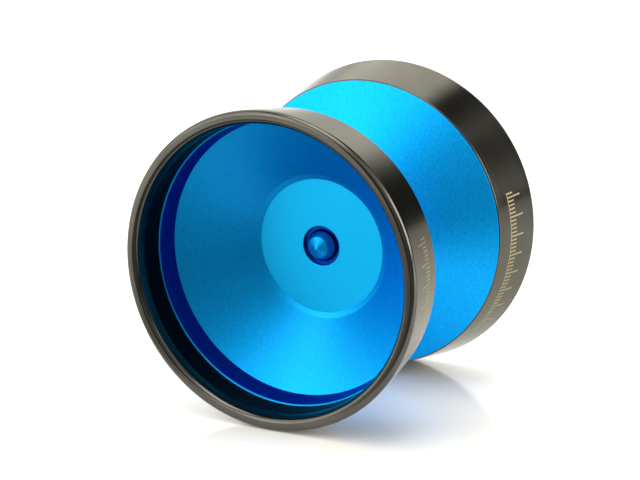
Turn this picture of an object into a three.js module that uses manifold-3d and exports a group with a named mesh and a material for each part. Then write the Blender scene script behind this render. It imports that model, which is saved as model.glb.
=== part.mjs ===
// A bi-metal yo-yo: two turned aluminium halves with a steel ring pressed on each rim, screwed
// together over a ball bearing by one threaded axle. Millimetres, +Z up. The yo-yo lies on its
// rims, so its spin axis is the Y axis, and the origin is the middle of the bearing. The front
// half is at -Y. Every turned outline below is drawn for the back half, at +Y, as points of
// (radius, distance from the centre plane).
import * as THREE from 'three';
import { mergeVertices } from 'three/addons/utils/BufferGeometryUtils.js';
import Module from 'manifold-3d';

const wasm = await Module();
wasm.setup();

// ---- Driving dimensions ----
const RIM_RADIUS = 27;            // half of the yo-yo's diameter
const HALF_WIDTH = 23.7;          // centre plane to the front face of a rim
const HALF_GAP = 2.25;            // centre plane to a response face
const WALL_ANGLE = 36;            // degrees, of the cup's cone and of the string gap's wall
const TURNED_SEGMENTS = 40;       // facets round each half and rim
const SMALL_SEGMENTS = 32;        // facets round each small part
const LIP_STEPS = 8;              // facets along each curve of a rim's lip
const GAP_BLEND_STEPS = 3;        // facets along the string gap's blend
const TRACK_STEPS = 9;            // facets across a race's ball track
const BALL_FACETS = { round: 12, high: 8 };
const BALL_POCKET_FACETS = { round: 14, high: 10 };
const SNAP_RING_FACETS = 28;

const AXLE = { radius: 1.98, length: 8, chamfer: 0.35, socketFlats: 2, socketDepth: 2.2 };
const BORE = { radius: 2.05, depth: 4.05, drillAngle: 59 };

// Bearing of 6.35 bore, 12.7 outside diameter and 4.76 width
const BEARING = { bore: 3.175, outside: 6.35, halfWidth: 2.381 };
const BALLS = { count: 8, radius: 0.992, orbit: 4.7625 };
const RACE = {
  grooveRadius: 1.05,             // of the ball track's cross-section
  shoulder: 0.61,                 // radial distance of each race's shoulder from the ball orbit
  chamfer: 0.18,
};
const SHIELD = { inner: 4.32, outer: 5.78, inside: 1.74, thickness: 0.16 };
const SNAP_RING = { inner: 5.42, outer: 5.98, inside: 1.95, thickness: 0.22, gapDegrees: 30 };
const SHIELD_SEAT_PLAY = { face: 0.04, edge: 0.06 };   // between a shield and its step in the race
const SNAP_GROOVE_PLAY = { face: 0.03, edge: 0.05 };   // between a snap ring and its groove
const RETAINER = { inner: 4.36, outer: 5.16, back: -1.45, front: 0.42, pocket: 1.06 };

// Response face, from the bearing's pocket outwards
const SEAT_POST = { radius: 3.1, end: 0.15, chamfer: 0.3 };
const SEAT_LEDGE = { radius: 4.15, y: 2.42 };
const POCKET = { radius: 6.5, y: 2.62, chamfer: 0.12 };
const PAD_GROOVE = { inner: 7.2, outer: 9.5, y: 3.15 };
const PAD = { inner: 7.28, outer: 9.42, face: 2.3, back: 3.12, rounding: 0.2 };
const GAP_BLEND_RADIUS = 4;       // between the response face and the string gap's wall

// Where the steel ring sits on the aluminium
const RING_SEAT = { radius: 24.8, back: 12.45, edge: 25.3 };
const PRESS_GAP = 0.07;           // keeps the ring's faces off the aluminium's

// Cup side
const LIP = { radius: 24.15, y: 17.05, chamfer: 0.22 };
const CUP_CORNER = { radius: 23.68, y: 13.1 };
const HUB_FACE = 4.5;             // flat disk in the middle of the cup
const HUB_BAND = { inner: 11.6, outer: 12.5 };   // bevel between the hub's face and the cone
const RECESS = { radius: 3.44, y: 3.7 };
const CENTRE_POST = {
  foot: 2.8, shoulder: 1.85, shoulderY: 5.7, tipRadius: 0.35, tipStart: 6.325, tipY: 6.5,
};

// Steel ring
const RING_BACK_RADIUS = 25.36;
const RING_EDGE_ROUNDING = 1;     // outer front edge
const RING_LAND = { inner: 25.7 };   // the land's outer edge is where the rounding starts
const RING_MOUTH = { radius: 24.54, y: 21.64 };
const RING_SHOULDER_RADIUS = 24.42;

// ---- Materials ----
const steel = (color, roughness) =>
  new THREE.MeshStandardMaterial({ color, roughness, metalness: 1 });
const MATERIALS = {
  anodised: new THREE.MeshStandardMaterial({ color: 0x0a92d6, roughness: 0.42, metalness: 0.85 }),
  gunmetal: steel(0x4c4a44, 0.22),
  race: steel(0xc9ccd0, 0.15),
  ball: steel(0xdfe2e5, 0.06),
  shield: steel(0xb6b9bd, 0.3),
  snapRing: steel(0x8d9196, 0.3),
  retainer: steel(0xb99a5b, 0.35),
  axle: steel(0x26272a, 0.4),
  silicone: new THREE.MeshStandardMaterial({ color: 0xe9ebe6, roughness: 0.7, metalness: 0 }),
};

// ---- Outline helpers ----
const radians = THREE.MathUtils.degToRad;
const point = (radius, y) => new THREE.Vector2(radius, y);

/** Points of an arc about (radius, y), both ends included. Angles in degrees from +radius to +y. */
function arc(radius, y, size, from, to, steps) {
  return Array.from({ length: steps + 1 }, (_, i) => {
    const angle = radians(from + (to - from) * i / steps);
    return point(radius + size * Math.cos(angle), y + size * Math.sin(angle));
  });
}

/**
 * A quarter of an ellipse about (radius, y), from its top to its inner side. Its points are spaced
 * so that the outline turns by the same angle at each.
 */
function ellipseQuarter(radius, y, halfWidth, halfHeight, steps) {
  return Array.from({ length: steps + 1 }, (_, i) => {
    const normal = radians(90 + 90 * i / steps);
    const across = halfWidth * Math.cos(normal);
    const along = halfHeight * Math.sin(normal);
    const size = Math.hypot(across, along);
    return point(radius + halfWidth * across / size, y + halfHeight * along / size);
  });
}

/** Turns an outline about the Y axis. The outline closes on itself or starts and ends on the axis. */
function turned(outline, segments) {
  const closed = outline[0].x === 0 ? outline : [...outline, outline[0].clone()];
  return new THREE.LatheGeometry(closed, segments);
}

/** The same outline seen from the other side of the centre plane. */
const mirrored = (outline) => outline.map((p) => point(p.x, -p.y)).reverse();

// ---- Boolean helpers ----
function solidOf(geometry) {
  const bare = geometry.clone();
  bare.deleteAttribute('normal');
  bare.deleteAttribute('uv');
  const merged = mergeVertices(bare, 1e-5);
  return new wasm.Manifold(new wasm.Mesh({
    numProp: 3,
    vertProperties: new Float32Array(merged.attributes.position.array),
    triVerts: new Uint32Array(merged.index.array),
  }));
}

function geometryOf(solid) {
  const mesh = solid.getMesh();
  const geometry = new THREE.BufferGeometry();
  geometry.setAttribute('position', new THREE.BufferAttribute(mesh.vertProperties, 3));
  geometry.setIndex(new THREE.BufferAttribute(mesh.triVerts, 1));
  geometry.computeVertexNormals();
  return geometry;
}

// ---- Halves and rims ----
function halfOutline() {
  const slope = Math.tan(radians(WALL_ANGLE));
  const tangent = Math.tan(radians(WALL_ANGLE / 2));
  // The string gap's wall ends at the ring's back edge and would meet the response face here:
  const wallFoot = RING_SEAT.edge - (RING_SEAT.back - HALF_GAP) / slope;
  const gapBlendStart = wallFoot - GAP_BLEND_RADIUS * tangent;
  const coneFootY = CUP_CORNER.y - (CUP_CORNER.radius - HUB_BAND.outer) * slope;
  const drillTip = BORE.depth + BORE.radius / Math.tan(radians(BORE.drillAngle));

  return [
    // threaded bore and the post that the bearing's inner race sits on
    point(0, drillTip),
    point(BORE.radius, BORE.depth),
    point(BORE.radius, SEAT_POST.end + SEAT_POST.chamfer),
    point(BORE.radius + SEAT_POST.chamfer, SEAT_POST.end),
    point(SEAT_POST.radius - SEAT_POST.chamfer, SEAT_POST.end),
    point(SEAT_POST.radius, SEAT_POST.end + SEAT_POST.chamfer),
    point(SEAT_POST.radius, SEAT_LEDGE.y),
    point(SEAT_LEDGE.radius, SEAT_LEDGE.y),
    // bearing pocket and the groove of the response pad
    point(SEAT_LEDGE.radius, POCKET.y),
    point(POCKET.radius, POCKET.y),
    point(POCKET.radius, HALF_GAP + POCKET.chamfer),
    point(POCKET.radius + POCKET.chamfer, HALF_GAP),
    point(PAD_GROOVE.inner, HALF_GAP),
    point(PAD_GROOVE.inner, PAD_GROOVE.y),
    point(PAD_GROOVE.outer, PAD_GROOVE.y),
    point(PAD_GROOVE.outer, HALF_GAP),
    // string gap's wall, up to the ring's seat
    ...arc(gapBlendStart, HALF_GAP + GAP_BLEND_RADIUS, GAP_BLEND_RADIUS, -90, WALL_ANGLE - 90,
      GAP_BLEND_STEPS),
    point(RING_SEAT.edge, RING_SEAT.back),
    point(RING_SEAT.radius, RING_SEAT.back),
    point(RING_SEAT.radius, LIP.y - LIP.chamfer),
    point(RING_SEAT.radius - LIP.chamfer, LIP.y),
    // cup, from its lip to the centre
    point(LIP.radius + LIP.chamfer, LIP.y),
    point(LIP.radius, LIP.y - LIP.chamfer),
    point(CUP_CORNER.radius, CUP_CORNER.y),
    point(HUB_BAND.outer, coneFootY),
    point(HUB_BAND.inner, HUB_FACE),
    point(RECESS.radius, HUB_FACE),
    point(RECESS.radius, RECESS.y),
    point(CENTRE_POST.foot, RECESS.y),
    point(CENTRE_POST.shoulder, CENTRE_POST.shoulderY),
    point(CENTRE_POST.tipRadius, CENTRE_POST.tipStart),
    point(0, CENTRE_POST.tipY),
  ];
}

function ringOutline() {
  const bore = RING_SEAT.radius + PRESS_GAP;
  const back = RING_SEAT.back + PRESS_GAP;
  const shoulderY = LIP.y + PRESS_GAP;
  const roundingCentre = RIM_RADIUS - RING_EDGE_ROUNDING;
  const taper = THREE.MathUtils.radToDeg(
    Math.atan((RIM_RADIUS - RING_BACK_RADIUS) / (HALF_WIDTH - RING_EDGE_ROUNDING - back)));
  return [
    point(bore, back),
    point(RING_BACK_RADIUS, back),
    ...arc(roundingCentre, HALF_WIDTH - RING_EDGE_ROUNDING, RING_EDGE_ROUNDING, -taper, 90,
      LIP_STEPS),
    // the lip rolls over from the front land to the mouth
    ...ellipseQuarter(RING_LAND.inner, RING_MOUTH.y,
      RING_LAND.inner - RING_MOUTH.radius, HALF_WIDTH - RING_MOUTH.y, LIP_STEPS),
    point(RING_SHOULDER_RADIUS, shoulderY),
    point(bore, shoulderY),
  ];
}

function padOutline() {
  return [
    point(PAD.inner, PAD.back),
    point(PAD.inner, PAD.face + PAD.rounding),
    point(PAD.inner + PAD.rounding, PAD.face),
    point(PAD.outer - PAD.rounding, PAD.face),
    point(PAD.outer, PAD.face + PAD.rounding),
    point(PAD.outer, PAD.back),
  ];
}

// ---- Axle ----
function axleGeometry() {
  const end = AXLE.length / 2;
  const outline = [
    point(0, -end),
    point(AXLE.radius - AXLE.chamfer, -end),
    point(AXLE.radius, -end + AXLE.chamfer),
    point(AXLE.radius, end - AXLE.chamfer),
    point(AXLE.radius - AXLE.chamfer, end),
    point(0, end),
  ];
  const socketRadius = AXLE.socketFlats / 2 / Math.cos(Math.PI / 6);
  const socket = new THREE.CylinderGeometry(socketRadius, socketRadius, 2 * AXLE.socketDepth, 6);
  socket.translate(0, end, 0);
  return geometryOf(solidOf(turned(outline, SMALL_SEGMENTS)).subtract(solidOf(socket)));
}

// ---- Bearing ----
/**
 * A race: its ball track, the steps of its upper end and their mirror image. The track is on the
 * outer side of the inner race (side -1) and on the inner side of the outer race (side 1).
 */
function raceOutline(side, wallRadius, steps) {
  const halfAngle = THREE.MathUtils.radToDeg(Math.acos(RACE.shoulder / RACE.grooveRadius));
  const middle = side > 0 ? 0 : 180;
  const [from, to] = [middle - side * halfAngle, middle + side * halfAngle];
  const track = arc(BALLS.orbit, 0, RACE.grooveRadius, from, to, TRACK_STEPS);
  const upper = [
    ...steps.map(([radius, y]) => point(radius, y)),
    point(wallRadius - side * RACE.chamfer, BEARING.halfWidth),
    point(wallRadius, BEARING.halfWidth - RACE.chamfer),
  ];
  const outline = [...track, ...upper, ...mirrored(upper)];
  return side > 0 ? outline.reverse() : outline;
}

function innerRaceOutline() {
  const shoulder = BALLS.orbit - RACE.shoulder;
  return raceOutline(-1, BEARING.bore, [[shoulder, BEARING.halfWidth]]);
}

/** The outer race is stepped at each end for its shield, with a groove for the snap ring. */
function outerRaceOutline() {
  const shieldSeat = SHIELD.inside - SHIELD_SEAT_PLAY.face;
  const seatRadius = SHIELD.outer + SHIELD_SEAT_PLAY.edge;
  const grooveRadius = SNAP_RING.outer + SNAP_GROOVE_PLAY.edge;
  const grooveInside = SNAP_RING.inside - SNAP_GROOVE_PLAY.face;
  const grooveOutside = SNAP_RING.inside + SNAP_RING.thickness + SNAP_GROOVE_PLAY.face;
  return raceOutline(1, BEARING.outside, [
    [BALLS.orbit + RACE.shoulder, shieldSeat],
    [seatRadius, shieldSeat],
    [seatRadius, grooveInside],
    [grooveRadius, grooveInside],
    [grooveRadius, grooveOutside],
    [seatRadius, grooveOutside],
    [seatRadius, BEARING.halfWidth],
  ]);
}

function shieldOutline() {
  const outside = SHIELD.inside + SHIELD.thickness;
  return [
    point(SHIELD.inner, SHIELD.inside),
    point(SHIELD.outer, SHIELD.inside),
    point(SHIELD.outer, outside),
    point(SHIELD.inner, outside),
  ];
}

/** A flat C of spring steel, lying in the plane Y = 0 to its thickness. */
function snapRingGeometry() {
  const half = radians(SNAP_RING.gapDegrees / 2);
  const shape = new THREE.Shape();
  shape.absarc(0, 0, SNAP_RING.outer, half, 2 * Math.PI - half, false);
  shape.absarc(0, 0, SNAP_RING.inner, 2 * Math.PI - half, half, true);
  const geometry = new THREE.ExtrudeGeometry(shape, {
    depth: SNAP_RING.thickness,
    bevelEnabled: false,
    curveSegments: SNAP_RING_FACETS,
  });
  return geometry.rotateX(-Math.PI / 2);
}

/** Where ball number `i` sits round the bearing. */
function ballPosition(i) {
  const angle = 2 * Math.PI * i / BALLS.count;
  return new THREE.Vector3(BALLS.orbit * Math.sin(angle), 0, BALLS.orbit * Math.cos(angle));
}

/** A crown retainer: a ring at the back of the balls, with fingers that reach between them. */
function retainerGeometry() {
  const blank = turned([
    point(RETAINER.inner, RETAINER.back),
    point(RETAINER.outer, RETAINER.back),
    point(RETAINER.outer, RETAINER.front),
    point(RETAINER.inner, RETAINER.front),
  ], SMALL_SEGMENTS);
  let solid = solidOf(blank);
  for (let i = 0; i < BALLS.count; i += 1) {
    const { round, high } = BALL_POCKET_FACETS;
    const pocket = new THREE.SphereGeometry(RETAINER.pocket, round, high);
    const at = ballPosition(i);
    solid = solid.subtract(solidOf(pocket.translate(at.x, at.y, at.z)));
  }
  return geometryOf(solid);
}

// ---- The assembly ----
const yoyo = new THREE.Group();

function add(parent, name, geometry, material) {
  const mesh = new THREE.Mesh(geometry, material);
  mesh.name = name;
  parent.add(mesh);
  return mesh;
}

function addSide(prefix, outlineFor) {
  const large = [
    ['half', halfOutline(), MATERIALS.anodised],
    ['rim', ringOutline(), MATERIALS.gunmetal],
    ['response_pad', padOutline(), MATERIALS.silicone],
  ];
  for (const [name, outline, material] of large) {
    add(yoyo, `${prefix}_${name}`, turned(outlineFor(outline), TURNED_SEGMENTS), material);
  }
  const shield = turned(outlineFor(shieldOutline()), SMALL_SEGMENTS);
  add(yoyo, `${prefix}_bearing_shield`, shield, MATERIALS.shield);
}

addSide('back', (outline) => outline);
addSide('front', mirrored);

add(yoyo, 'axle_screw', axleGeometry(), MATERIALS.axle);
add(yoyo, 'bearing_inner_race', turned(innerRaceOutline(), SMALL_SEGMENTS), MATERIALS.race);
add(yoyo, 'bearing_outer_race', turned(outerRaceOutline(), SMALL_SEGMENTS), MATERIALS.race);
add(yoyo, 'ball_retainer', retainerGeometry(), MATERIALS.retainer);

for (let i = 0; i < BALLS.count; i += 1) {
  const ball = new THREE.SphereGeometry(BALLS.radius, BALL_FACETS.round, BALL_FACETS.high);
  add(yoyo, `bearing_ball_${i + 1}`, ball, MATERIALS.ball).position.copy(ballPosition(i));
}

const backSnapRing = add(yoyo, 'back_snap_ring', snapRingGeometry(), MATERIALS.snapRing);
backSnapRing.position.y = SNAP_RING.inside;
const frontSnapRing = add(yoyo, 'front_snap_ring', snapRingGeometry(), MATERIALS.snapRing);
frontSnapRing.position.y = -SNAP_RING.inside;
frontSnapRing.rotation.z = Math.PI;

export default yoyo;
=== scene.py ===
"""The looks of a bi-metal yo-yo: turned and bead-blasted blue aluminium halves, dark steel rim
rings, and the bearing, axle and response pads between them.

The turned pieces take their outlines from the CAD nodes, with every corner rounded and every
facet replaced by a smooth surface. Lengths are in metres, in the row frame: the spin axis is Y,
the front half is at -Y and +Z is up. An outline is a list of (radius, y) points.
"""
import math

import bmesh
import bpy
from mathutils import Matrix, Vector


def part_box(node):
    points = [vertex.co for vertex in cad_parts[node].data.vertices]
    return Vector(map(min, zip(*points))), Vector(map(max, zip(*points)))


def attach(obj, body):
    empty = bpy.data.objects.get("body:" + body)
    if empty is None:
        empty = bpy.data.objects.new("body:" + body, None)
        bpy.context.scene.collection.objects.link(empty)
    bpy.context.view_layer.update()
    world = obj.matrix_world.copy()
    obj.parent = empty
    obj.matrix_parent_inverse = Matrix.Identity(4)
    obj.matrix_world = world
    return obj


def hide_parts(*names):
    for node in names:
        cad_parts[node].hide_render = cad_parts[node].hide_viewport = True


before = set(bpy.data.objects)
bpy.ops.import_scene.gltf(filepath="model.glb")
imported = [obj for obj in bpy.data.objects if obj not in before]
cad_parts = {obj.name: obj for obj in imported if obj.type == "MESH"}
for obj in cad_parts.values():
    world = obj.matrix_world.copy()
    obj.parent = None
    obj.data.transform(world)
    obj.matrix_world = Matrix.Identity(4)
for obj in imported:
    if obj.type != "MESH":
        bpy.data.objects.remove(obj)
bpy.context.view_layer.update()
MM = 0.001

# ---- How the pieces are finished ----
FINE_SEGMENTS = 256        # round the halves, rims and pads
SMALL_SEGMENTS = 128       # round the bearing's parts
SHALLOW_TURN = math.radians(13)   # a corner that turns less is part of a curve
CURVE_REACH = 0.49         # share of a segment that a curve's rounding may take
EDGE_STEPS = 4             # facets across a rounded corner
EDGE_RADIUS = {"half": 0.12 * MM, "rim": 0.3 * MM, "response_pad": 0.15 * MM,
               "bearing_shield": 0.04 * MM, "race": 0.05 * MM, "snap_ring": 0.05 * MM,
               "retainer": 0.06 * MM}
SHARP_TURN = math.radians(50)      # an edge that turns more is shaded as a sharp one
POCKET_SHARP_TURN = math.radians(40)
BALL_COUNT = 8
BALL_PLAY = 0.07 * MM      # between a ball and its pocket
WELD = 0.0004 * MM         # nearer vertices are joined after a cut
BALL_SUBDIVISIONS = 4
POCKET_SUBDIVISIONS = 5
THREAD_PITCH = 0.7 * MM
THREAD_DEPTH = 0.38 * MM
THREAD_FLAT = 0.3          # ridge heights that the crest's flat takes off the top
THREAD_SLOPE = 3.0         # ridge heights that a flank falls in one pitch
THREAD_ROWS = 14           # rows of vertices in a pitch
THREAD_SEGMENTS = 72
AXLE_CHAMFER = 0.45 * MM
CUP_POINT = 0.5 * MM
SOCKET_CORNER = 1.155 * MM # from the middle, in a 2 mm hex socket
SOCKET_DEPTH = 2.2 * MM
SMALLEST = 1e-7            # a shorter length counts as none

# ---- Turning marks and grain ----
NOISE_RANGE = (0.3, 0.7)
GROUND_PITCH = 0.06        # of the lines on ground steel, in millimetres
LINES_SLANT = 0.83         # so that they show on walls along Y as well as across it
LINES_CHANGE = 0.35        # how much they change in a radian round the piece
LINE_SHADE = 0.82          # how dark the lines of ground steel are beside it

# ---- Where finish, painted shade and painted light change, in millimetres and degrees round from the top ----
# Painted shade: inside the ring's mouth the steel is near black.
INSIDE_RADIUS = (24.60, 24.75)     # inside the mouth the ring is dark
INSIDE_Y = (21.3, 21.6)
RING_SIDE_RADIUS = 25.3
# Painted shade: the lip's wall gets a much darker blue.
LIP_WALL = {"radius": (23.6, 23.68), "start": (13.0, 13.2), "end": (16.93, 16.97)}
# Painted light: the hub's flat face gets a brighter blue.
HUB_FACE = {"radius": (11.45, 11.6), "start": (4.44, 4.48), "end": (4.52, 4.56)}
# Painted shade: the recess round the centre post gets a much darker blue.
RECESS = {"radius": (3.4, 3.5), "end": (4.3, 4.45)}
# The ticks' half width is a share of their pitch, and they reach from the first distance from
# the middle plane to the second, or the long ones to the third.
TICKS = {"pitch": 1.5, "half_width": 0.2, "long_one_in": 5, "reach": (15.8, 17.6, 19.6),
         "line": 0.16, "middle": 103, "half_arc": 30.1}

# ---- Where the camera stood: angles in degrees, distances in rim radii ----
CAMERA_AZIMUTH = 28.2
CAMERA_ELEVATION = 15.31
CAMERA_DISTANCE = 17.3
CAMERA_ASIDE = (-0.0866, -0.0017)  # right and up of the line to the bearing
CAMERA_LENS = 154.4

# ---- The floor, with painted light and dark in its reflections ----
FLOOR_SIZE = 6.0
FLOOR_WHITE = (0.93, 0.9, 0.82, 1)     # as the camera sees it
TABLE_WHITE = (0.7, 0.7, 0.695, 1)     # as the object mirrors it
# Painted reflection: past the table's end the floor is dark, only in reflections.
PAINTED_DARK_REFLECTION = (0.16, 0.16, 0.16, 1)     # the same, past the table's end
# Painted light: on the table the floor glows, only in reflections.
PAINTED_REFLECTION_GLOW = 0.35
TABLE_END = {"front": (-1.95, -1.5), "right": (-3.5, -1.9)}   # in half widths from the middle

# ---- Soft boxes all round: where each stands (degrees, azimuth from +Y towards +X), its half
# size in degrees across and up, the width of its soft edge, and its strength ----
AMBIENT_LIGHT = 0.05
SOFT_BOXES = {
    "left": (-120, 42, 34, 18, 18, 2.2),
    "low left": (-110, 12, 30, 14, 14, 2.1),
    "left back": (-70, 25, 18, 30, 12, 0.6),
    "front left": (-158, 26, 20, 22, 14, 2.1),
    "above camera": (165, 62, 40, 16, 16, 1.3),
    "front right": (135, 25, 20, 22, 14, 0.4),
    "right": (70, 20, 20, 16, 10, 5.2),
    "right high": (80, 46, 30, 18, 14, 1.2),
    "back right": (20, 28, 14, 10, 12, 0.6),
    "backdrop": (-30, 38, 32, 22, 14, 2.4),
    "backdrop foot": (-25, 5, 22, 12, 10, 1.0),
    "overhead": (0, 90, 400, 20, 14, 4.2),
}


# ==== Outlines ====
def node_outline(name):
    """The outline of a turned CAD node, read from its vertices in the half plane X = 0, Z >= 0."""
    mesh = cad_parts[name].data
    key_of = {}
    for vertex in mesh.vertices:
        if abs(vertex.co.x) < SMALLEST and vertex.co.z > -SMALLEST:
            radius = max(vertex.co.z, 0)
            key_of[vertex.index] = (round(radius / SMALLEST), round(vertex.co.y / SMALLEST))
    links = {key: set() for key in key_of.values()}
    for edge in mesh.edges:
        a, b = (key_of.get(i) for i in edge.vertices)
        if a and b and a != b:
            links[a].add(b)
            links[b].add(a)
    ends = [key for key, near in links.items() if len(near) == 1]
    here = min(ends or links, key=lambda key: (key[0], abs(key[1])))
    walk = [here]
    while len(walk) < len(links):
        here = min(key for key in links[here] if key not in walk)
        walk.append(here)
    return [Vector((radius * SMALLEST, y * SMALLEST)) for radius, y in walk], not ends


def rounded(outline, closed, edge_radius):
    """(point, normal) pairs along an outline whose corners are arcs.

    A corner gets edge_radius. Neighbouring corners that turn little are points of a curve, so
    their arcs take up all of the outline between them.
    """
    count = len(outline)
    area = sum(a.x * b.y - b.x * a.y for a, b in zip(outline, outline[1:] + outline[:1]))
    side = 1 if area > 0 else -1
    steps = [outline[(i + 1) % count] - corner for i, corner in enumerate(outline)]
    shallow = [steps[i - 1].angle(steps[i]) < SHALLOW_TURN for i in range(count)]
    made = []
    for i, corner in enumerate(outline):
        if not closed and i in (0, count - 1):
            other = outline[1] if i == 0 else outline[-2]
            made.append((corner.copy(), Vector((0, -side if i == 0 else side))))
            if abs(other.y - corner.y) > SMALLEST:
                run = (other - corner) * (1 if i == 0 else -1)
                made[-1] = (corner.copy(), Vector((run.y, -run.x)).normalized() * side)
            continue
        before, after = outline[i - 1], outline[(i + 1) % count]
        into, out = (corner - before), (after - corner)
        turn = into.angle(out)
        half_tan = math.tan(turn / 2)
        shortest = min(into.length, out.length)
        if shallow[i] and (shallow[i - 1] or shallow[(i + 1) % count]):
            reach = shortest * CURVE_REACH
        else:
            reach = min(edge_radius * half_tan, shortest * CURVE_REACH)
        into.normalize()
        out.normalize()
        for step in range(EDGE_STEPS + 1):
            share = step / EDGE_STEPS
            a = corner - into * reach
            b = corner + out * reach
            point = a.lerp(corner, share).lerp(corner.lerp(b, share), share)
            heading = into.lerp(out, share).normalized()
            made.append((point, Vector((heading.y, -heading.x)) * side))
    return made


def turned_point(radius, y, angle):
    """A point at an angle round Y from the top."""
    return radius * math.sin(angle), y, radius * math.cos(angle)


def stitch(builder, rings):
    """Faces between neighbouring rings of vertices."""
    for low, high in zip(rings, rings[1:]):
        for i in range(len(low)):
            j = (i + 1) % len(low)
            builder.faces.new((low[i], low[j], high[j], high[i]))


def smooth_mesh(name, builder, sharp_turn=math.pi):
    """A smooth mesh from a bmesh, with sharp edges where it turns more than sharp_turn."""
    mesh = bpy.data.meshes.new(name)
    builder.to_mesh(mesh)
    builder.free()
    mesh.shade_smooth()
    if sharp_turn < math.pi:
        mesh.set_sharp_from_angle(angle=sharp_turn)
    return mesh


def turned_mesh(name, outline, closed, segments):
    """A mesh turned about Y from (point, normal) pairs, with exact normals."""
    builder = bmesh.new()
    rings, normals = [], []
    for point, normal in outline:
        ring = []
        count = 1 if point.x < SMALLEST else segments
        for i in range(count):
            angle = 2 * math.pi * i / segments
            ring.append(builder.verts.new(turned_point(point.x, point.y, angle)))
            normals.append(turned_point(normal.x, normal.y, angle))
        rings.append(ring)
    pairs = list(zip(rings, rings[1:])) + ([(rings[-1], rings[0])] if closed else [])
    for low, high in pairs:
        for i in range(segments):
            corners = []
            for ring, k in ((low, i), (low, i + 1), (high, i + 1), (high, i)):
                corner = ring[k % len(ring)]
                if corner not in corners:
                    corners.append(corner)
            if len(corners) > 2:
                builder.faces.new(corners)
    if builder.calc_volume(signed=True) < 0:
        bmesh.ops.reverse_faces(builder, faces=builder.faces)
    mesh = smooth_mesh(name, builder)
    mesh.normals_split_custom_set_from_vertices(normals)
    return mesh


def add_piece(mesh, material, slot, body, *nodes):
    """Adds a finished mesh as a piece that rides on a body and stands for CAD nodes."""
    piece = bpy.data.objects.new(mesh.name, mesh)
    bpy.context.scene.collection.objects.link(piece)
    if not mesh.materials:
        mesh.materials.append(material)
    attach(piece, body)
    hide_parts(*nodes)
    return piece


def turned_piece(node, body, slot, material, edge_radius, segments):
    """The fine piece of a turned CAD node."""
    outline, closed = node_outline(node)
    mesh = turned_mesh(f"fine_{node}", rounded(outline, closed, edge_radius), closed, segments)
    return add_piece(mesh, material, slot, body, node)


# ==== Material nodes ====
class Nodes:
    """A short way to write node trees. The owner is a material or a world."""

    def __init__(self, owner, shader="Principled BSDF"):
        owner.use_nodes = True
        self.tree = owner.node_tree
        self.shader = self.tree.nodes[shader]

    def give(self, socket, value):
        """Sets a socket to a number or colour, or links it to another socket."""
        if isinstance(value, bpy.types.NodeSocket):
            self.tree.links.new(value, socket)
        else:
            socket.default_value = value

    def add(self, kind, **settings):
        """A new node. inputs gives its sockets' values, by name or number."""
        node = self.tree.nodes.new("ShaderNode" + kind)
        inputs = settings.pop("inputs", {})
        for key, value in settings.items():
            setattr(node, key, value)
        for key, value in inputs.items():
            self.give(node.inputs[key], value)
        return node

    def math(self, operation, a, b=0.0, c=0.0):
        return self.add("Math", operation=operation, inputs={0: a, 1: b, 2: c}).outputs[0]

    def remap(self, value, low, high, to_low, to_high):
        inputs = {"Value": value, "From Min": low, "From Max": high,
                  "To Min": to_low, "To Max": to_high}
        return self.add("MapRange", inputs=inputs).outputs[0]

    def mix(self, share, a, b):
        """A colour from a to b."""
        node = self.add("Mix", data_type="RGBA")
        for index, value in ((0, share), (6, a), (7, b)):
            self.give(node.inputs[index], value)
        return node.outputs[2]

    def noise(self, vector, scale, detail=2.0, roughness=0.5):
        inputs = {"Vector": vector, "Scale": scale, "Detail": detail, "Roughness": roughness}
        return self.add("TexNoise", inputs=inputs).outputs[0]

    def over_noise(self, noise, low, high):
        """low to high over the values that a noise mostly has."""
        return self.remap(noise, *NOISE_RANGE, low, high)

    def place(self):
        """The place on the piece in metres."""
        return self.add("TexCoord").outputs["Object"]

    def around(self):
        """(angle about Y from the top, radius, y), in radians and millimetres."""
        x, y, z = self.add("SeparateXYZ", inputs={0: self.place()}).outputs
        angle = self.math("ARCTAN2", x, z)
        radius = self.math("SQRT", self.math("ADD", self.math("MULTIPLY", x, x),
                                             self.math("MULTIPLY", z, z)))
        return angle, self.math("MULTIPLY", radius, 1 / MM), self.math("MULTIPLY", y, 1 / MM)

    def one_in(self, count, along, half_width):
        """1 within half_width of every whole multiple of count, 0 elsewhere."""
        off = self.math("PINGPONG", self.math("DIVIDE", along, count), 0.5)
        return self.math("LESS_THAN", off, half_width / count)

    def grain_vector(self):
        """The place on the piece in millimetres."""
        inputs = {0: self.place(), "Scale": 1 / MM}
        return self.add("VectorMath", operation="SCALE", inputs=inputs).outputs[0]

    def lathe_lines(self, pitch_mm):
        """A value that changes along the outline and hardly round it, as turning marks do."""
        angle, radius, y = self.around()
        across = self.math("ADD", radius, self.math("MULTIPLY", y, LINES_SLANT))
        vector = self.add("CombineXYZ", inputs={0: self.math("MULTIPLY", angle, LINES_CHANGE),
                                                1: self.math("DIVIDE", across, pitch_mm)})
        return self.noise(vector.outputs[0], 1.0, 3.0, 0.6)

    def set(self, **values):
        """Gives the shader's sockets their values."""
        for key, value in values.items():
            self.give(self.shader.inputs[key.replace("_", " ")], value)

    def bump(self, height, strength, distance_mm):
        node = self.add("Bump", inputs={"Height": height, "Strength": strength,
                                        "Distance": distance_mm * MM})
        self.tree.links.new(node.outputs[0], self.shader.inputs["Normal"])


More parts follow.
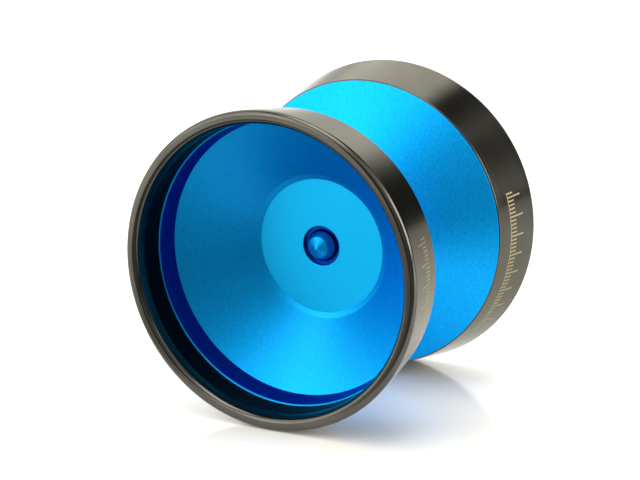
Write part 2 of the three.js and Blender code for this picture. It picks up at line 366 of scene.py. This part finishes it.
def anodised_blue():
    """Bead-blasted aluminium, dyed blue under a clear anodic layer, with faint turning marks.

    The lip's wall and the recess round the centre post are painted a much darker blue as shade, and
    are a little glossier; the hub's flat face is painted a brighter blue as light.
    """
    material = bpy.data.materials.new("anodised_blue")
    nodes = Nodes(material)
    sparkle = nodes.noise(nodes.grain_vector(), 3.2, 4.0, 0.75)
    lines = nodes.lathe_lines(0.22)
    _, radius, y = nodes.around()
    depth = nodes.math("ABSOLUTE", y)
    lip = nodes.math("MULTIPLY", nodes.remap(radius, *LIP_WALL["radius"], 0, 1),
                     nodes.math("MULTIPLY", nodes.remap(depth, *LIP_WALL["start"], 0, 1),
                                nodes.remap(depth, *LIP_WALL["end"], 1, 0)))
    recess = nodes.math("MULTIPLY", nodes.remap(radius, *RECESS["radius"], 1, 0),
                        nodes.remap(depth, *RECESS["end"], 1, 0))
    # Painted shade: the lip's wall and the recess get a much darker blue, and a lower roughness.
    painted_shade_and_gloss = nodes.math("MAXIMUM", lip, recess)
    blasted = nodes.mix(nodes.remap(sparkle, 0.35, 0.65, 0, 1),
                        (0.001, 0.31, 0.73, 1), (0.003, 0.47, 1.0, 1))
    # Painted light: the hub's flat face gets a brighter blue.
    hub = nodes.math("MULTIPLY", nodes.remap(radius, *HUB_FACE["radius"], 1, 0),
                     nodes.math("MULTIPLY", nodes.remap(depth, *HUB_FACE["start"], 0, 1),
                                nodes.remap(depth, *HUB_FACE["end"], 1, 0)))
    grain_and_painted_hub_light = nodes.mix(hub, blasted, (0.006, 0.56, 1.0, 1))
    nodes.set(
        Base_Color=nodes.mix(painted_shade_and_gloss, grain_and_painted_hub_light, (0.001, 0.055, 0.33, 1)),
        Metallic=1.0,
        Roughness=nodes.math("MULTIPLY_ADD", painted_shade_and_gloss, -0.12,
                             nodes.over_noise(sparkle, 0.42, 0.5)),
        Specular_Tint=(0.1, 0.55, 1.0, 1),
        Coat_Weight=0.08,
        Coat_Roughness=0.3,
    )
    height = nodes.math("MULTIPLY_ADD", lines, 0.2, sparkle)
    nodes.bump(height, 0.38, 0.02)
    return material


def gunmetal():
    """Turned stainless steel under a dark gunmetal coat, with fine lines round the ring.

    Inside the mouth the ring is painted near black as shade, and it is rougher there.
    """
    material = bpy.data.materials.new("gunmetal")
    nodes = Nodes(material)
    lines = nodes.lathe_lines(0.11)
    clouds = nodes.noise(nodes.grain_vector(), 0.18, 3.0)
    coat = nodes.mix(nodes.over_noise(clouds, 0, 1),
                     (0.085, 0.081, 0.067, 1), (0.102, 0.097, 0.08, 1))
    _, radius, y = nodes.around()
    # Painted shade: inside the ring's mouth the steel is near black, and rougher.
    painted_shade_and_dullness = nodes.math("MULTIPLY", nodes.remap(radius, *INSIDE_RADIUS, 1, 0),
                        nodes.remap(nodes.math("ABSOLUTE", y), *INSIDE_Y, 1, 0))
    base = nodes.mix(painted_shade_and_dullness, coat, (0.008, 0.011, 0.014, 1))
    etched = etched_ticks(nodes)
    nodes.set(
        Base_Color=nodes.mix(etched, base, (0.36, 0.29, 0.17, 1)),
        Metallic=1.0,
        Roughness=nodes.math("MULTIPLY_ADD", nodes.math("ADD", etched, painted_shade_and_dullness), 0.3,
                             nodes.over_noise(lines, 0.13, 0.21)),
        Specular_Tint=(0.8, 0.79, 0.72, 1),
    )
    nodes.bump(lines, 0.12, 0.01)
    return material


def etched_ticks(nodes):
    """1 on a plain graduated arc on the ring's side, 0 elsewhere."""
    angle, radius, y = nodes.around()
    along = nodes.math("DIVIDE", angle, math.radians(TICKS["pitch"]))
    distance = nodes.math("ABSOLUTE", y)

    low, middle, high = TICKS["reach"]
    long_tick = nodes.one_in(TICKS["long_one_in"], along, TICKS["half_width"])
    reach = nodes.math("MULTIPLY_ADD", long_tick, high - middle, middle)
    tick = nodes.math("MULTIPLY", nodes.one_in(1, along, TICKS["half_width"]),
                      nodes.math("LESS_THAN", distance, reach))
    line = nodes.math("LESS_THAN", distance, low + TICKS["line"])
    drawn = nodes.math("MULTIPLY", nodes.math("MAXIMUM", tick, line),
                       nodes.math("GREATER_THAN", distance, low))
    from_middle = nodes.math("SUBTRACT", angle, math.radians(TICKS["middle"]))
    off_middle = nodes.math("ABSOLUTE", from_middle)
    in_arc = nodes.math("LESS_THAN", off_middle, math.radians(TICKS["half_arc"]))
    outside = nodes.math("GREATER_THAN", radius, RING_SIDE_RADIUS)
    return nodes.math("MULTIPLY", drawn, nodes.math("MULTIPLY", in_arc, outside))


def ground_steel(name, colour, roughness):
    """Bright steel with fine ground or rolled lines round it."""
    material = bpy.data.materials.new(name)
    nodes = Nodes(material)
    lines = nodes.lathe_lines(GROUND_PITCH)
    darker = tuple(c * LINE_SHADE for c in colour[:3]) + (1,)
    nodes.set(
        Base_Color=nodes.mix(nodes.over_noise(lines, 0, 1), darker, colour),
        Metallic=1.0,
        Roughness=nodes.over_noise(lines, *roughness),
    )
    nodes.bump(lines, 0.1, 0.006)
    return material


def polished_steel():
    """Polished balls with faint smears of oil."""
    material = bpy.data.materials.new("polished_steel")
    nodes = Nodes(material)
    smears = nodes.noise(nodes.grain_vector(), 2.5, 4.0)
    nodes.set(
        Base_Color=(0.86, 0.87, 0.9, 1),
        Metallic=1.0,
        Roughness=nodes.over_noise(smears, 0.04, 0.1),
    )
    return material


def tumbled_brass():
    """Stamped brass, dulled by tumbling."""
    material = bpy.data.materials.new("tumbled_brass")
    nodes = Nodes(material)
    dents = nodes.noise(nodes.grain_vector(), 6.0, 3.0)
    nodes.set(
        Base_Color=nodes.mix(nodes.over_noise(dents, 0, 1),
                             (0.52, 0.35, 0.13, 1), (0.72, 0.52, 0.22, 1)),
        Metallic=1.0,
        Roughness=nodes.over_noise(dents, 0.22, 0.42),
    )
    nodes.bump(dents, 0.2, 0.02)
    return material


def black_oxide():
    """Alloy steel under a black oxide coat that has worn through in places."""
    material = bpy.data.materials.new("black_oxide")
    nodes = Nodes(material)
    wear = nodes.noise(nodes.grain_vector(), 3.0, 4.0, 0.65)
    nodes.set(
        Base_Color=nodes.mix(nodes.remap(wear, 0.55, 0.7, 0, 1),
                             (0.035, 0.035, 0.04, 1), (0.14, 0.14, 0.15, 1)),
        Metallic=0.9,
        Roughness=nodes.over_noise(wear, 0.5, 0.3),
    )
    return material


def silicone():
    """Soft, slightly clear white silicone with a moulded grain."""
    material = bpy.data.materials.new("silicone")
    nodes = Nodes(material)
    grain = nodes.noise(nodes.grain_vector(), 5.0, 3.0)
    nodes.set(
        Base_Color=nodes.mix(grain, (0.80, 0.81, 0.79, 1), (0.90, 0.90, 0.88, 1)),
        Roughness=nodes.over_noise(grain, 0.5, 0.66),
        Subsurface_Weight=0.35,
        Subsurface_Scale=0.6 * MM,
    )
    nodes.bump(grain, 0.3, 0.02)
    return material


# ==== Pieces that aren't simply turned ====
def threaded_axle(material):
    """The set screw: a 60 degree helical thread, chamfered ends and a hex socket in the back end."""
    low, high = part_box("axle_screw")
    major = high.x
    half_length = high.y
    rows = round(2 * half_length / THREAD_PITCH * THREAD_ROWS)
    builder = bmesh.new()
    rings = []
    for row in range(rows + 1):
        y = -half_length + 2 * half_length * row / rows
        to_end = half_length - abs(y)
        limit = major - max(0.0, AXLE_CHAMFER - to_end)
        ring = []
        for i in range(THREAD_SEGMENTS):
            angle = 2 * math.pi * i / THREAD_SEGMENTS
            phase = (y / THREAD_PITCH - i / THREAD_SEGMENTS) % 1.0
            ridge = min(1.0, max(0.0, 1 + THREAD_FLAT - THREAD_SLOPE * abs(phase - 0.5)))
            radius = min(major - THREAD_DEPTH * (1 - ridge), limit)
            ring.append(builder.verts.new(turned_point(radius, y, angle)))
        rings.append(ring)
    stitch(builder, rings)
    cap_end(builder, rings[0], Vector((0, -half_length + CUP_POINT, 0)))
    hex_socket(builder, rings[-1], half_length)
    bmesh.ops.recalc_face_normals(builder, faces=builder.faces)
    mesh = smooth_mesh("threaded_axle", builder, SHARP_TURN)
    return add_piece(mesh, material, "axle_steel", "front_side", "axle_screw")


def cap_end(builder, ring, tip):
    """Closes a ring with a cone to tip, such as a set screw's cup point."""
    centre = builder.verts.new(tip)
    for i in range(len(ring)):
        builder.faces.new((ring[i], ring[(i + 1) % len(ring)], centre))


def hex_socket(builder, ring, top):
    """Closes a ring with a flat land round a six-sided socket with a drilled end."""
    count = len(ring)
    walls = [ring]
    for y in (top, top - SOCKET_DEPTH):
        wall = []
        for i in range(count):
            angle = 2 * math.pi * i / count
            within = (angle % (math.pi / 3)) - math.pi / 6
            radius = SOCKET_CORNER * math.cos(math.pi / 6) / math.cos(within)
            wall.append(builder.verts.new(turned_point(radius, y, angle)))
        walls.append(wall)
    stitch(builder, walls)
    cap_end(builder, walls[-1], Vector((0, top - SOCKET_DEPTH - CUP_POINT, 0)))


def add_sphere(builder, node, play, subdivisions):
    """Adds a sphere where a round CAD node is, larger by play all round."""
    low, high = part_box(node)
    bmesh.ops.create_icosphere(builder, subdivisions=subdivisions,
                               radius=(high.y - low.y) / 2 + play,
                               matrix=Matrix.Translation((low + high) / 2))


def ball(number, material):
    """A bearing ball, where its CAD node is."""
    node = f"bearing_ball_{number}"
    builder = bmesh.new()
    add_sphere(builder, node, 0, BALL_SUBDIVISIONS)
    mesh = smooth_mesh(f"fine_ball_{number}", builder)
    return add_piece(mesh, material, "ball_steel", f"ball_{number}", node)


def radial_span(name):
    """(inner radius, outer radius, lowest y, highest y) of a CAD node."""
    spots = [vertex.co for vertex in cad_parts[name].data.vertices]
    radii = [math.hypot(spot.x, spot.z) for spot in spots]
    heights = [spot.y for spot in spots]
    return min(radii), max(radii), min(heights), max(heights)


def box_section(inner, outer, low, high):
    """A rectangular outline."""
    return [Vector(p) for p in ((inner, low), (outer, low), (outer, high), (inner, high))]


def snap_ring(side, material):
    """A C of spring steel with rounded edges, its gap where the CAD ring has it."""
    node = f"{side}_snap_ring"
    section = rounded(box_section(*radial_span(node)), True, EDGE_RADIUS["snap_ring"])
    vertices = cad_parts[node].data.vertices
    across = sum(vertex.co.x for vertex in vertices)
    gap_middle = math.radians(-90 if across > 0 else 90)
    spots = [math.atan2(vertex.co.x, vertex.co.z) - gap_middle for vertex in vertices]
    half_gap = min(abs(math.remainder(spot, 2 * math.pi)) for spot in spots)
    start, stretch = gap_middle + half_gap, 2 * (math.pi - half_gap)
    builder = bmesh.new()
    rings = []
    for i in range(SMALL_SEGMENTS + 1):
        angle = start + stretch * i / SMALL_SEGMENTS
        rings.append([builder.verts.new(turned_point(point.x, point.y, angle))
                      for point, _ in section])
    stitch(builder, rings)
    for ring in (rings[0], rings[-1]):
        builder.faces.new(ring)
    bmesh.ops.recalc_face_normals(builder, faces=builder.faces)
    mesh = smooth_mesh(f"fine_{node}", builder, SHARP_TURN)
    return add_piece(mesh, material, "spring_steel", "bearing_outer", node)


def retainer(material):
    """The crown retainer: a rounded ring with a round pocket for each ball."""
    node = "ball_retainer"
    inner, outer, low, high = radial_span(node)
    section = rounded(box_section(inner, outer, low, high), True, EDGE_RADIUS["retainer"])
    blank_mesh = turned_mesh("blank", section, True, SMALL_SEGMENTS)
    pockets = bmesh.new()
    for number in range(1, BALL_COUNT + 1):
        add_sphere(pockets, f"bearing_ball_{number}", BALL_PLAY, POCKET_SUBDIVISIONS)
    blank = bpy.data.objects.new("blank", blank_mesh)
    cutter = bpy.data.objects.new("pockets", smooth_mesh("pockets", pockets))
    for thing in (cutter, blank):
        bpy.context.scene.collection.objects.link(thing)
    cut = blank.modifiers.new("pockets", "BOOLEAN")
    cut.operation, cut.solver, cut.object = "DIFFERENCE", "EXACT", cutter
    builder = bmesh.new()
    builder.from_object(blank, bpy.context.evaluated_depsgraph_get())
    for thing in (cutter, blank):
        bpy.data.objects.remove(thing)
    bmesh.ops.remove_doubles(builder, verts=builder.verts, dist=WELD)
    bmesh.ops.triangulate(builder, faces=builder.faces, ngon_method="BEAUTY")
    bmesh.ops.dissolve_degenerate(builder, edges=builder.edges, dist=WELD)
    mesh = smooth_mesh("fine_ball_retainer", builder, POCKET_SHARP_TURN)
    return add_piece(mesh, material, "retainer_brass", "retainer", node)


def main_pieces():
    """Every piece of the yo-yo, each in its material."""
    blue = anodised_blue()
    dark = gunmetal()
    pads = silicone()
    shield = ground_steel("rolled_shield", (0.62, 0.63, 0.65, 1), (0.22, 0.36))
    race = ground_steel("ground_race", (0.74, 0.75, 0.77, 1), (0.1, 0.2))
    for side in ("front", "back"):
        for part, slot, material in (("half", "anodised_aluminium", blue),
                                     ("rim", "gunmetal_steel", dark),
                                     ("response_pad", "silicone", pads)):
            turned_piece(f"{side}_{part}", f"{side}_side", slot, material, EDGE_RADIUS[part],
                         FINE_SEGMENTS)
        turned_piece(f"{side}_bearing_shield", "bearing_outer", "shield_steel", shield,
                     EDGE_RADIUS["bearing_shield"], SMALL_SEGMENTS)
    for which in ("inner", "outer"):
        turned_piece(f"bearing_{which}_race", f"bearing_{which}", "race_steel", race,
                     EDGE_RADIUS["race"], SMALL_SEGMENTS)
    threaded_axle(black_oxide())
    polished = polished_steel()
    for number in range(1, BALL_COUNT + 1):
        ball(number, polished)
    retainer(tumbled_brass())
    spring = ground_steel("spring_steel", (0.42, 0.42, 0.44, 1), (0.2, 0.32))
    for side in ("front", "back"):
        snap_ring(side, spring)


# ==== Studio ====
def studio_camera():
    """Camera at the viewing angle, with the spin axis level and both rims on the floor."""
    rim_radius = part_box("front_rim")[1].x
    azimuth, elevation = math.radians(CAMERA_AZIMUTH), math.radians(CAMERA_ELEVATION)
    forward = Vector((-math.sin(azimuth) * math.cos(elevation),
                      math.cos(azimuth) * math.cos(elevation), -math.sin(elevation)))
    right = Vector((math.cos(azimuth), math.sin(azimuth), 0))
    up = right.cross(forward)
    aside, above = CAMERA_ASIDE
    data = bpy.data.cameras.new("camera")
    data.lens = CAMERA_LENS
    data.clip_start, data.clip_end = 0.01, 50
    camera = bpy.data.objects.new("camera", data)
    bpy.context.scene.collection.objects.link(camera)
    camera.location = (right * aside + up * above - forward * CAMERA_DISTANCE) * rim_radius
    camera.rotation_mode = "QUATERNION"
    camera.rotation_quaternion = forward.to_track_quat("-Z", "Y")
    bpy.context.scene.camera = camera


def studio_floor():
    """A white floor that, only in reflections, glows with painted light, as a light table would.

    In those reflections the floor is painted dark in front on the right, where the table would end.
    """
    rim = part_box("front_rim")
    half_width = -rim[0].y
    material = bpy.data.materials.new("white_floor")
    nodes = Nodes(material)
    x, y, _ = nodes.add("SeparateXYZ", inputs={0: nodes.place()}).outputs
    in_front = nodes.remap(y, *(half_width * reach for reach in TABLE_END["front"]), 1, 0)
    on_right = nodes.remap(x, *(half_width * reach for reach in TABLE_END["right"]), 0, 1)
    mirrored = nodes.add("LightPath").outputs["Is Glossy Ray"]
    on_table = nodes.math("SUBTRACT", 1.0, nodes.math("MULTIPLY", in_front, on_right))
    # Painted light and dark in reflections only: the floor glows on the table and is dark past its
    # end.
    glowing_reflection = nodes.math("MULTIPLY", mirrored, on_table)
    nodes.set(
        Base_Color=nodes.mix(nodes.math("SUBTRACT", mirrored, glowing_reflection),
                             nodes.mix(mirrored, FLOOR_WHITE, TABLE_WHITE), PAINTED_DARK_REFLECTION),
        Roughness=0.14,
        Specular_IOR_Level=0.25,
        Emission_Color=(1, 1, 0.985, 1),
        Emission_Strength=nodes.math("MULTIPLY", glowing_reflection, PAINTED_REFLECTION_GLOW),
    )
    mesh = bpy.data.meshes.new("floor")
    corners = [(across * FLOOR_SIZE, along * FLOOR_SIZE, 0)
               for across, along in ((-1, -1), (1, -1), (1, 1), (-1, 1))]
    mesh.from_pydata(corners, [], [(0, 1, 2, 3)])
    mesh.materials.append(material)
    floor = bpy.data.objects.new("floor", mesh)
    bpy.context.scene.collection.objects.link(floor)
    floor.location.z = -rim[1].x


def studio_world():
    """Light from all round: a dim room with the soft boxes in it."""
    world = bpy.data.worlds.new("studio")
    bpy.context.scene.world = world
    nodes = Nodes(world, "Background")
    direction = nodes.add("TexCoord").outputs["Generated"]
    x, y, z = nodes.add("SeparateXYZ", inputs={0: direction}).outputs
    azimuth = nodes.math("ARCTAN2", x, y)
    elevation = nodes.math("ARCSINE", z)
    total = AMBIENT_LIGHT
    for middle, height, half_width, half_height, edge, strength in SOFT_BOXES.values():
        box = strength
        for angle, centre, half in ((azimuth, middle, half_width), (elevation, height, half_height)):
            off = nodes.math("SUBTRACT", angle, math.radians(centre))
            turn = nodes.math("ABSOLUTE", nodes.math("WRAP", off, math.pi, -math.pi))
            inner, outer = math.radians(half - edge / 2), math.radians(half + edge / 2)
            share = nodes.add("MapRange", interpolation_type="SMOOTHSTEP", inputs={
                "Value": turn, "From Min": inner, "From Max": outer, "To Min": 1.0, "To Max": 0.0})
            box = nodes.math("MULTIPLY", share.outputs[0], box)
        total = nodes.math("ADD", box, total)
    nodes.set(Color=(1, 1, 1, 1), Strength=total)


main_pieces()
studio_camera()
studio_floor()
studio_world()
bpy.context.scene.view_settings.view_transform = "Standard"
